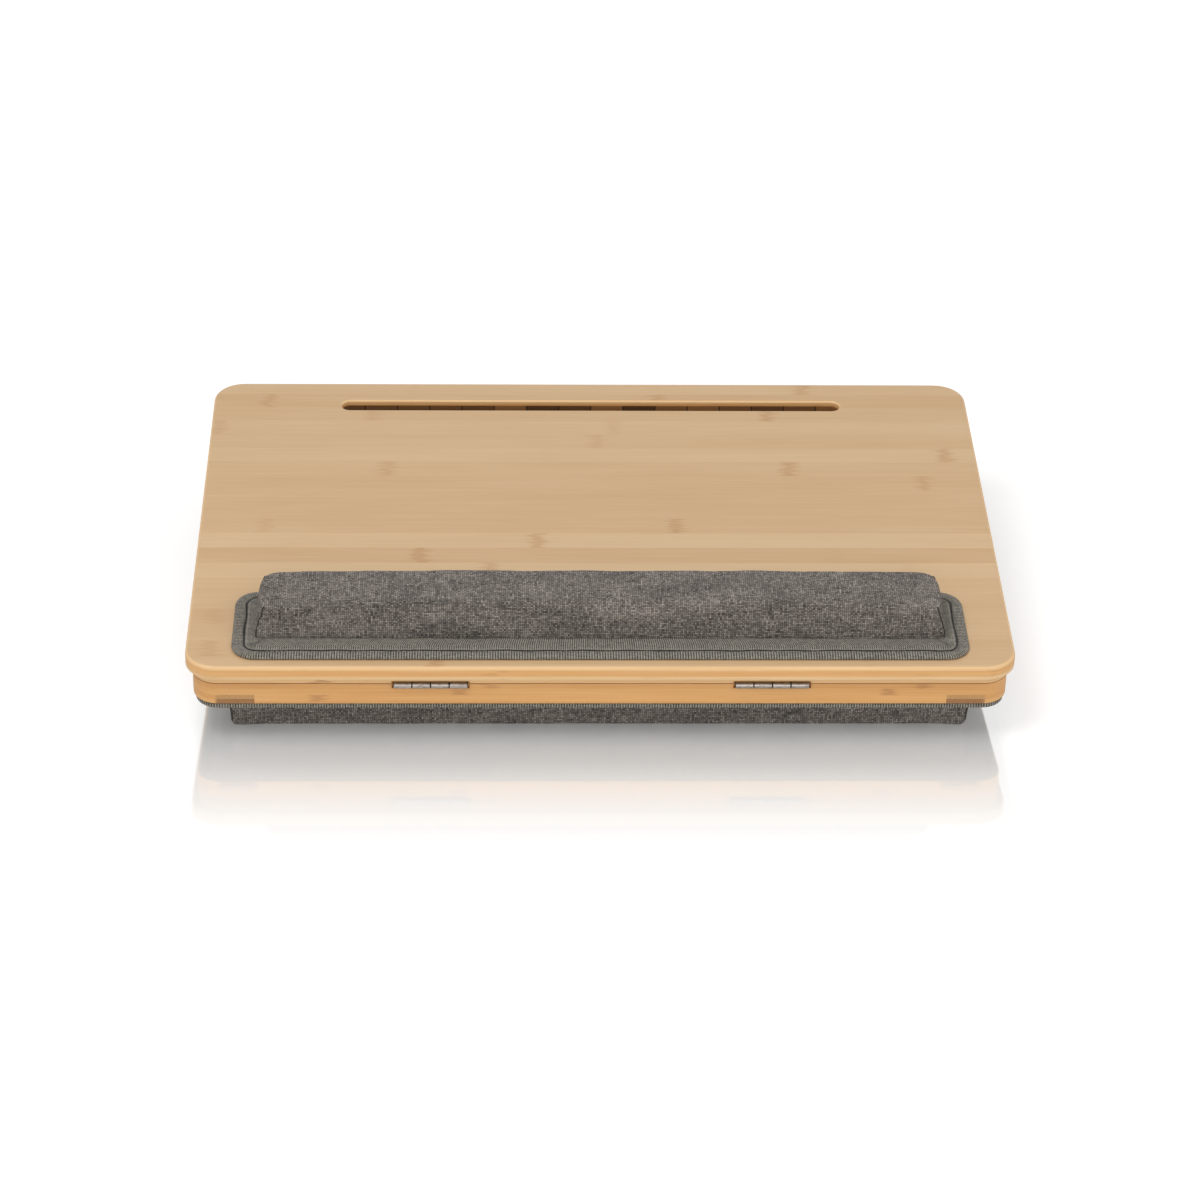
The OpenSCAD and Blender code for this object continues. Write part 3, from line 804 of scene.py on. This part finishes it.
def fit(mesh, name, sink=0.0):
    """Stretches a mesh to the box of the CAD node it stands for, let down by sink."""
    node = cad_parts[name]
    want = box_of([node.matrix_world @ Vector(corner) for corner in node.bound_box])
    want[2] = (want[2][0] - sink, want[2][1])
    have = box_of([vertex.co for vertex in mesh.vertices])
    for vertex in mesh.vertices:
        for k in range(3):
            share = (vertex.co[k] - have[k][0]) / (have[k][1] - have[k][0])
            vertex.co[k] = want[k][0] + share * (want[k][1] - want[k][0])


def soften(mesh, amount):
    """Small uneven hollows, as in filled cloth."""
    for vertex in mesh.vertices:
        vertex.co += vertex.normal * noise.fractal(vertex.co / HOLLOW_GRAIN, *HOLLOW_OCTAVES) * amount


def rest_flat(mesh):
    """Lays the bottom flat on the table."""
    for vertex in mesh.vertices:
        vertex.co.z = max(vertex.co.z, 0)


def finish_pad(piece, material):
    """Subdivides a pad, lays out its cloth and gives it its material."""
    subdivision = piece.modifiers.new("subdivision", "SUBSURF")
    subdivision.levels = 1
    subdivision.render_levels = 1
    mesh = evaluated(piece)
    unfold(mesh)
    give_material(mesh, material)
    smooth_faces(mesh)
    return mesh


def tube_mesh(name, lines, radius, sides=8):
    """Mesh of round tubes along lists of points in the part's frame."""
    bm = bmesh.new()
    for line in lines:
        rings = []
        for i, point in enumerate(line):
            ahead = (line[min(i + 1, len(line) - 1)] - line[max(i - 1, 0)]).normalized()
            first = ahead.orthogonal().normalized()
            second = ahead.cross(first)
            rings.append([
                bm.verts.new(point + (first * math.cos(a) + second * math.sin(a)) * radius)
                for a in (2 * math.pi * k / sides for k in range(sides))
            ])
        for one, two in zip(rings, rings[1:]):
            # The nearest starting corner keeps the tube from twisting
            shift = min(range(sides), key=lambda k: (two[k].co - one[0].co).length)
            for k in range(sides):
                bm.faces.new((
                    one[k], one[(k + 1) % sides], two[(k + 1 + shift) % sides], two[(k + shift) % sides],
                ))
        bm.faces.new(rings[0][::-1])
        bm.faces.new(rings[-1])
    bmesh.ops.recalc_face_normals(bm, faces=bm.faces)
    mesh = bpy.data.meshes.new(name)
    bm.to_mesh(mesh)
    bm.free()
    return mesh


def stitch_lines(rect, radius, inset, height, length, lift):
    """Short raised threads in a row round a rectangle, each a list of points in the part's frame."""
    x0, y0, x1, y1 = rect
    corner = max(radius - inset, SMALL_CORNER)
    ring = ring_points(x0 + inset, y0 + inset, x1 - inset, y1 - inset, corner, long_step=STITCH_PITCH)
    run = run_round(ring)

    def at(distance):
        """Point of the ring at a distance along it, and the way out from there."""
        distance %= run[-1]
        i = max(k for k in range(len(ring)) if run[k] <= distance)
        share = (distance - run[i]) / (run[i + 1] - run[i])
        step = ring[(i + 1) % len(ring)] - ring[i]
        return ring[i] + step * share, Vector((step.y, -step.x, 0)).normalized()

    lines = []
    count = round(run[-1] / STITCH_PITCH)
    for n in range(count):
        start = n * run[-1] / count
        line = []
        for share, rise in STITCH:
            point, outward = at(start + share * length)
            point += outward * seam_sway(start)
            line.append(DESK @ Vector((point.x, point.y, height + rise * lift)))
        lines.append(line)
    return lines


def on_surface(tree, points, lift):
    """Points moved to the nearest place on a surface, then out by lift."""
    found = []
    for point in points:
        place, normal, _, _ = tree.find_nearest(point)
        found.append(place + normal * lift)
    return found


def corner_line(x, y, z0, z1, steps=8):
    """Points up a pad's corner, from z0 to z1 in the desk's frame."""
    return [DESK @ Vector((x, y, z0 + (z1 - z0) * i / steps)) for i in range(steps + 1)]


def corner_seams(name, mesh, lines, radius, cord, body):
    """Sewn cords laid on a pad's mesh along the lines."""
    faces = [face.vertices for face in mesh.polygons]
    tree = BVHTree.FromPolygons([vertex.co for vertex in mesh.vertices], faces)
    laid = [on_surface(tree, line, CORD_LIFT) for line in lines]
    add_piece(name, tube_mesh(name, laid, radius), cord, body)


def add_stitches(name, lines, material, body):
    add_piece(name, tube_mesh(name, lines, STITCH_R, sides=STITCH_SIDES), material, body)


# Wrist rest
# The block that the cloth swells from: how far it leans in at its ends and front, sinks into the border
# and starts too tall, and how high its held foot is
PAD_LEAN = 4 * MM
PAD_SINK = 2.4 * MM
PAD_SPARE = 4 * MM
PAD_HELD = 1.5 * MM
# The crown: its soft bend, how far in from the ends it drops and by how much, the drop across the pad,
# and the share by which its top is shorter than its foot
CROWN_BEND = 1.2 * MM
END_REACH = 20 * MM
END_DROP = 3 * MM
RIDGE_DROP = 1.6 * REST_CROWN
END_LEAN = 0.014


def crown(mesh):
    """Holds the pad's top under a low crown that drops at both ends, with a soft bend at its edge."""
    back = DESK.inverted()
    for vertex in mesh.vertices:
        place = back @ vertex.co
        ridge = (place.y - (PAD_Y0 + PAD_Y1) / 2) / (PAD_Y1 - PAD_Y0)
        end = max(0, abs(place.x) - PAD_X + END_REACH) / END_REACH
        drop = REST_CROWN * (abs(place.x) / PAD_X) ** 4 + RIDGE_DROP * ridge ** 2 + END_DROP * end ** 2
        place.x *= 1 - END_LEAN * max(0, place.z - REST_PAD_Z) / REST_H
        limit = REST_PAD_Z + REST_H - drop
        place.z = limit - CROWN_BEND * math.log1p(math.exp((limit - place.z) / CROWN_BEND))
        vertex.co = DESK @ place


def wrist_pad(cloth, cord):
    z0 = REST_PAD_Z - PAD_SINK
    z1 = REST_PAD_Z + REST_H + PAD_SPARE
    low = four_corners(PAD_X, (PAD_Y0, z0), (PAD_Y1, z0))
    high = four_corners(PAD_X - PAD_LEAN, (PAD_Y0 + PAD_LEAN, z1), (PAD_Y1, z1))
    piece = add_piece("wrist_pad", block_mesh("wrist_pad", low, high), cloth, "lid")
    back = DESK.inverted()

    def held(point):
        return (back @ point).z < REST_PAD_Z + PAD_HELD

    mesh = inflate(piece, voxel=4 * MM, rounds=9, pressure=5.0, cap=4.5 * MM, held=held)
    crown(mesh)
    fit(mesh, "wrist_rest_cover", PAD_SINK)
    soften(mesh, 0.6 * MM)
    mesh = finish_pad(piece, cloth)
    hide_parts("wrist_rest_cover", "wrist_rest_foam")
    corners = ((-PAD_X, PAD_Y0), (PAD_X, PAD_Y0), (PAD_X, PAD_Y1), (-PAD_X, PAD_Y1))
    lines = [corner_line(x, y, REST_PAD_Z, z1) for x, y in corners]
    corner_seams("wrist_pad_seams", mesh, lines, 0.55 * MM, cord, "lid")


def over_lid(*profile):
    """Profile in metres from one in millimetres, with heights over the lid's top."""
    return [(inset * MM, TOP_Z + height * MM) for inset, height in profile]


def wrist_border(tape, binding, stitch):
    rect = (-REST_W / 2, REST_FRONT, REST_W / 2, REST_FRONT + REST_D)
    radius = 16 * MM
    # The border lies lower than the pad's foot, and its bound edge droops
    flat = over_lid(
        (7.2, 0.6), (7.2, 1.6), (8.2, 2.3), (10, 2.6), (14, 2.7), (18, 3.0), (23, 3.1), (30, 2.9), (30, 1.4),
    )
    mesh = sweep_round("wrist_border", rect, radius, flat, ripple=0.2 * MM)
    border = add_piece("wrist_border", mesh, tape, "lid")
    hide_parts("wrist_rest_flange")
    fold = over_lid(
        (7.9, 0.4), (1.2, 0.2), (0.3, 0.6), (0, 1.2), (0.4, 1.9), (1.5, 2.5),
        (3, 2.6), (4.8, 2.4), (6.2, 2.6), (7.1, 2.7), (7.6, 2.3), (7.7, 1.4),
    )
    mesh = sweep_round("wrist_binding", rect, radius, fold, ripple=0.15 * MM)
    edge = add_piece("wrist_binding", mesh, binding, "lid")
    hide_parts("wrist_rest_binding")
    lines = stitch_lines(rect, radius, 6.5 * MM, TOP_Z + 2.6 * MM, 2.3 * MM, STITCH_LIFT)
    add_stitches("wrist_stitches", lines, stitch, "lid")


# Lap cushion
# How far its block starts below the table and reaches into the border, how deep its held top is,
# and how far over the table its seams end
CUSHION_SINK = 7 * MM
CUSHION_LAP = 0.3 * MM
CUSHION_HELD = 2 * MM
SEAM_FOOT = 2 * MM


def lap_cushion(cloth, cord):
    x = BASE_X - CUSHION_IN
    y0 = BASE_Y0 + CUSHION_IN
    y1 = BASE_Y1 - CUSHION_IN
    top = -FLANGE_T + CUSHION_LAP
    high = four_corners(x, (y0, top), (y1, top))
    low = four_corners(x, (y0, table_z(y0) - CUSHION_SINK), (y1, table_z(y1) - CUSHION_SINK))
    piece = add_piece("lap_cushion", block_mesh("lap_cushion", low, high), cloth, "base")
    back = DESK.inverted()

    def held(point):
        return (back @ point).z > top - CUSHION_HELD

    mesh = inflate(piece, voxel=5 * MM, rounds=4, pressure=4.0, cap=4 * MM, held=held)
    rest_flat(mesh)
    fit(mesh, "cushion_cover")
    soften(mesh, 0.35 * MM)
    rest_flat(mesh)
    mesh = finish_pad(piece, cloth)
    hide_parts("cushion_cover", "cushion_foam")
    corners = ((-x, y0), (x, y0), (x, y1), (-x, y1))
    lines = [corner_line(cx, cy, table_z(cy) + SEAM_FOOT, top) for cx, cy in corners]
    corner_seams("lap_cushion_seams", mesh, lines, 0.7 * MM, cord, "base")


def lap_border(tape, binding, stitch):
    x = BASE_X - FLANGE_IN
    y0 = BASE_Y0 + FLANGE_IN / 2
    y1 = BASE_Y1 - FLANGE_IN
    rect = (-x, y0, x, y1)
    radius = 15.5 * MM
    under = -FLANGE_T
    flat = [
        (6 * MM, -1.3 * MM), (6 * MM, under + 0.6 * MM), (10 * MM, under + 0.3 * MM),
        (14 * MM, under + 0.5 * MM), (20 * MM, under + 0.2 * MM), (26 * MM, under + 0.2 * MM),
        (26 * MM, -1.3 * MM),
    ]
    mesh = sweep_round("lap_border", rect, radius, flat, ripple=0.2 * MM)
    border = add_piece("lap_border", mesh, tape, "base")
    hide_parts("cushion_flange")
    fold = [
        (7.4 * MM, -0.4 * MM), (0.9 * MM, -0.3 * MM), (-0.4 * MM, -1.0 * MM), (-0.7 * MM, -2.3 * MM),
        (-0.4 * MM, -4.0 * MM), (1.0 * MM, under - 1.0 * MM), (4.5 * MM, under - 0.7 * MM),
        (7 * MM, under + 0.2 * MM),
    ]
    mesh = sweep_round("lap_binding", rect, radius, fold, ripple=0.12 * MM)
    edge = add_piece("lap_binding", mesh, binding, "base")
    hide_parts("cushion_binding")
    lines = stitch_lines(rect, radius, 5.0 * MM, under - 0.75 * MM, 2.4 * MM, -STITCH_LIFT)
    add_stitches("lap_stitches", lines, stitch, "base")


# Stage
FLOOR_HALF = 12.0
FLOOR_Z = -0.2 * MM
FLOOR_COLOUR = (0.8, 0.8, 0.795, 1)
MIRROR_COLOUR = (0.94, 0.95, 0.94, 1)
MIRROR_ROUGHNESS = 0.06
WHITE = (1, 1, 1, 1)
# Strength of the mirror image, and of the floor's own light: everywhere, lower close to the desk to paint a
# shadow there, and more far off
MIRROR = 0.55
GLOW = 0.44
SHADOW_DIM = 0.32
GLOW_FAR = 0.3
# Where each of them fades, in metres: past the desk's sides, and in front of it or behind. The far glow
# goes by the square of the distance from its middle
SIDE_FADE = (0.003, -0.012)
MIRROR_FADE = (0.15, -0.06)
SHADOW_FADE = (0.25, -0.02)
FAR_FADE = (0.1, 2.0)
# Strength of the world's light on the object, and of the background that the camera and metal see
WORLD_LIGHT = 0.46
BACKGROUND = 1.0
# Name, place, width and power of each lamp
LAMPS = (
    ("key", (-1.1, -1.0, 2.4), 1.6, 30),
    ("fill", (1.6, -0.8, 1.5), 1.6, 10),
    ("front", (0.2, -2.4, 0.7), 1.4, 9),
)


def add_floor():
    """Pale floor that keeps the object's shadow, adds a painted shadow in front of the desk and behind it, and
    shows a faint mirror image close to it.
    """
    mesh = bpy.data.meshes.new("floor")
    front = (-FLOOR_HALF, FLOOR_Z)
    back = (FLOOR_HALF, FLOOR_Z)
    mesh.from_pydata(four_corners(FLOOR_HALF, front, back), [], [(0, 1, 2, 3)])
    floor = bpy.data.objects.new("floor", mesh)
    bpy.context.collection.objects.link(floor)
    g = Graph("pale_floor")
    x, y, _ = g.split(g.node("ShaderNodeTexCoord").outputs["Object"])
    # How far a place is in front of the desk or behind it, and whether it is between the desk's sides
    clear = y.size() - cad_bounds[1][1]
    side = cad_bounds[1][0]
    between = x.size().step(side + SIDE_FADE[0], side + SIDE_FADE[1])
    mirror = clear.step(*MIRROR_FADE) * between * MIRROR
    # Painted shadow: the floor's own light is dimmed in front of the desk and behind it
    painted_shadow = clear.step(*SHADOW_FADE) * between
    far = (x * x + y * y).step(*FAR_FADE)
    bright = far * GLOW_FAR - painted_shadow * SHADOW_DIM + GLOW
    diffuse = g.node("ShaderNodeBsdfDiffuse", {"Color": FLOOR_COLOUR})
    glossy = g.node("ShaderNodeBsdfGlossy", {"Color": MIRROR_COLOUR, "Roughness": MIRROR_ROUGHNESS})
    mixed = g.node("ShaderNodeMixShader", {0: mirror})
    g.tree.links.new(diffuse.outputs[0], mixed.inputs[1])
    g.tree.links.new(glossy.outputs[0], mixed.inputs[2])
    seen = Value(g, g.node("ShaderNodeLightPath").outputs["Is Camera Ray"])
    glow = g.node("ShaderNodeEmission", {"Color": WHITE, "Strength": seen * bright})
    added = g.node("ShaderNodeAddShader")
    g.tree.links.new(mixed.outputs[0], added.inputs[0])
    g.tree.links.new(glow.outputs[0], added.inputs[1])
    g.tree.links.new(added.outputs[0], g.tree.nodes["Material Output"].inputs["Surface"])
    g.tree.nodes.remove(g.shader)
    mesh.materials.append(g.material)


def add_world():
    """White background for the camera and for reflections, and a dimmer light on the object."""
    world = bpy.data.worlds.new("studio")
    bpy.context.scene.world = world
    world.use_nodes = True
    tree = world.node_tree
    ground = tree.nodes["Background"]
    ground.inputs["Color"].default_value = WHITE
    path = tree.nodes.new("ShaderNodeLightPath")
    level = tree.nodes.new("ShaderNodeMapRange")
    level.inputs["To Min"].default_value = WORLD_LIGHT
    level.inputs["To Max"].default_value = BACKGROUND
    direct = tree.nodes.new("ShaderNodeMath")
    direct.operation = "MAXIMUM"
    tree.links.new(path.outputs["Is Camera Ray"], direct.inputs[0])
    tree.links.new(path.outputs["Is Glossy Ray"], direct.inputs[1])
    tree.links.new(direct.outputs[0], level.inputs["Value"])
    tree.links.new(level.outputs["Result"], ground.inputs["Strength"])


def add_lamp(name, place, size, power):
    """Round lamp that shines on the desk's middle."""
    data = bpy.data.lights.new(name, "AREA")
    data.shape = "DISK"
    data.size = size
    data.energy = power
    lamp = bpy.data.objects.new(name, data)
    aim = (Vector((0, 0, 0)) - Vector(place)).to_track_quat("-Z", "Y")
    lamp.matrix_world = Matrix.Translation(place) @ aim.to_matrix().to_4x4()
    bpy.context.collection.objects.link(lamp)


def dress_nodes():
    """Gives each CAD node that stays its material."""
    edge_x = rail_wood("rail_bamboo", EDGE_TONES, True, 1.7)
    edge_y = rail_wood("side_rail_bamboo", EDGE_TONES, False, 4.4, ends=True)
    rim_x = rail_wood("rim_bamboo", RIM_TONES, True, 7.2)
    rim_y = rail_wood("rim_side_bamboo", RIM_TONES, False, 8.6)
    floor_wood = rail_wood("floor_bamboo", TOP_TONES, True, 3.1)
    metal = hinge_metal()
    liner = plain_cloth("backing_cloth", srgb(16, 16, 16), srgb(44, 43, 41))
    tape = plain_cloth("fastening_tape", srgb(10, 10, 10), srgb(34, 34, 34))
    core = foam()
    looks = {
        "lid_board": lid_wood(),
        "rim_front": rim_x,
        "rim_back": rim_x,
        "rim_left": rim_y,
        "rim_right": rim_y,
        "base_front_rail": edge_x,
        "base_back_rail": edge_x,
        "base_left_rail": edge_y,
        "base_right_rail": edge_y,
        "compartment_floor": floor_wood,
        "wrist_rest_backing": liner,
        "cushion_backing": liner,
        "wrist_rest_foam": core,
        "cushion_foam": core,
    }
    for name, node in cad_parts.items():
        if name.startswith("hinge"):
            looks[name] = metal
        if name.endswith("tape"):
            looks[name] = tape
        material = looks.get(name)
        if material:
            give_material(node.data, material)


add_camera()
add_floor()
add_world()
for lamp in LAMPS:
    add_lamp(*lamp)
dress_nodes()
pad_cloth = tweed()
border_tape = webbing("border_webbing", 1.5, groove=2.6)
binding_tape = webbing("binding_webbing", 1.8)
stitch_thread = thread("stitch_thread", srgb(96, 92, 84), srgb(156, 150, 138))
# Cord of the corner seams, coloured dark as painted shade in the seams' creases
shaded_seam_cord = thread("shaded_seam_cord", srgb(40, 38, 35), srgb(78, 74, 68))
wrist_pad(pad_cloth, shaded_seam_cord)
wrist_border(border_tape, binding_tape, stitch_thread)
lap_cushion(pad_cloth, shaded_seam_cord)
lap_border(border_tape, binding_tape, stitch_thread)
bpy.context.scene.view_settings.view_transform = "Standard"
